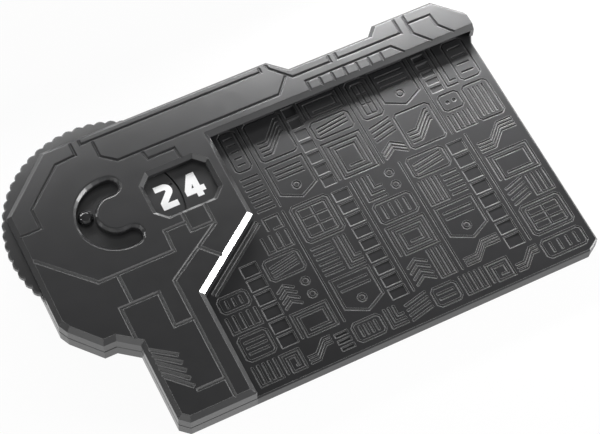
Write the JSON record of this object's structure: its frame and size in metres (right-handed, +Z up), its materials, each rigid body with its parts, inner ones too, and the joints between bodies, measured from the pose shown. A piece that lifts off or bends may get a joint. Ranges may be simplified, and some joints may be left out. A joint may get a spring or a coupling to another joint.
{
  "type": "damage counter pad",
  "caption": "Flat card tray with a hold-down rail and a raised housing whose two concentric number dials show a score through one window.",
  "frame": {"origin": "middle of the whole outline's box, on the surface that the tray rests on", "axes": "+Z up, +X along the rail from the dials towards its free end, +Y from the pad's front edge towards the rail"},
  "size_m": [0.2003, 0.1287, 0.012],
  "materials": {
    "shell_plastic": "semi-gloss moulded black",
    "dial_plastic": "semi-gloss moulded black",
    "peg_plastic": "polished black",
    "digit_paint": "white print",
    "zinc_steel": "zinc plated",
    "spring_steel": "bright spring strip"
  },
  "bodies": {
    "shells": {"lower_tray": "shell_plastic", "upper_housing": "shell_plastic", "hub_screw": "zinc_steel", "leg_screw_front": "zinc_steel", "leg_screw_back": "zinc_steel", "side_screw": "zinc_steel", "rail_screw_left": "zinc_steel", "rail_screw_middle": "zinc_steel", "rail_screw_notch": "zinc_steel", "rail_screw_right": "zinc_steel", "units_click_spring": "spring_steel", "tens_click_spring": "spring_steel", "units_spring_screw": "zinc_steel", "tens_spring_screw": "zinc_steel"},
    "units_dial": {"units_wheel": "dial_plastic"},
    "tens_dial": {"tens_disc": "dial_plastic", "finger_peg": "peg_plastic"}
  },
  "joints": [
    {"name": "units_turn", "type": "hinge", "parent": "shells", "child": "units_dial", "pos_m": [-0.0581, 0.0223, 0.0071], "axis": [0, 0, 1], "continuous": true},
    {"name": "tens_turn", "type": "hinge", "parent": "shells", "child": "tens_dial", "pos_m": [-0.0581, 0.0223, 0.0078], "axis": [0, 0, 1], "range_deg": [-80, 120]}
  ]
}
